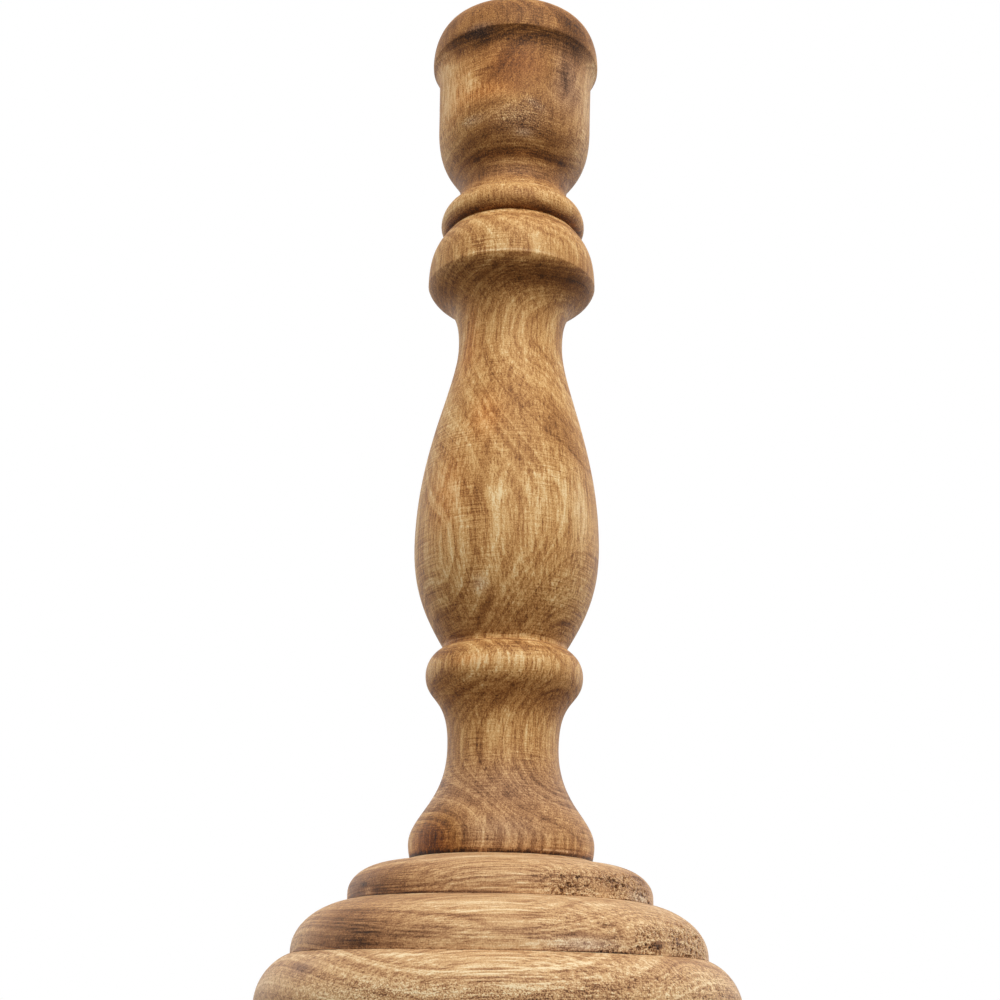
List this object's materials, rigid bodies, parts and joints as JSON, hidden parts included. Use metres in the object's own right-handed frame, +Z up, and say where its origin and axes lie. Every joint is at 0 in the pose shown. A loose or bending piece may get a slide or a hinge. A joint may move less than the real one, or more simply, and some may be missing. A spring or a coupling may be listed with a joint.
{
  "type": "pricket candle stand",
  "caption": "Turned wooden candle stand: stepped round base, baluster shaft and rolled-lip cup holding a lift-out brass drip pan with a pricket spike.",
  "frame": {"origin": "centre of the ring of felt pads, on the surface the stand rests on", "axes": "+Z up along the turning axis; +X along the grain of the base tiers, to the right in the picture; +Y away from the viewer"},
  "size_m": [0.151, 0.151, 0.3795],
  "materials": {
    "mango_spindle": "turned along the grain, sanded on the lathe, thin wax",
    "mango_base": "turned across the grain, sanded, thin wax",
    "beech_dowel": "machined, unfinished",
    "spun_brass": "spun, satin",
    "turned_brass": "turned, satin",
    "zinc_steel": "zinc plated",
    "wool_felt": "pressed felt"
  },
  "bodies": {
    "stand": {"felt_pads": "wool_felt", "base_tier_bottom": "mango_base", "base_tier_middle": "mango_base", "base_tier_top": "mango_base", "base_bolt": "zinc_steel", "bolt_washer": "zinc_steel", "threaded_insert": "turned_brass", "baluster_shaft": "mango_spindle", "cup_dowel": "beech_dowel", "candle_cup": "mango_spindle"},
    "pan": {"drip_pan": "spun_brass", "pricket_spike": "turned_brass", "pricket_washer": "turned_brass", "pricket_nut": "turned_brass"}
  },
  "joints": [
    {"name": "pan_lift", "type": "slide", "parent": "stand", "child": "pan", "axis": [0, 0, 1], "range_m": [0, 0.04]}
  ]
}
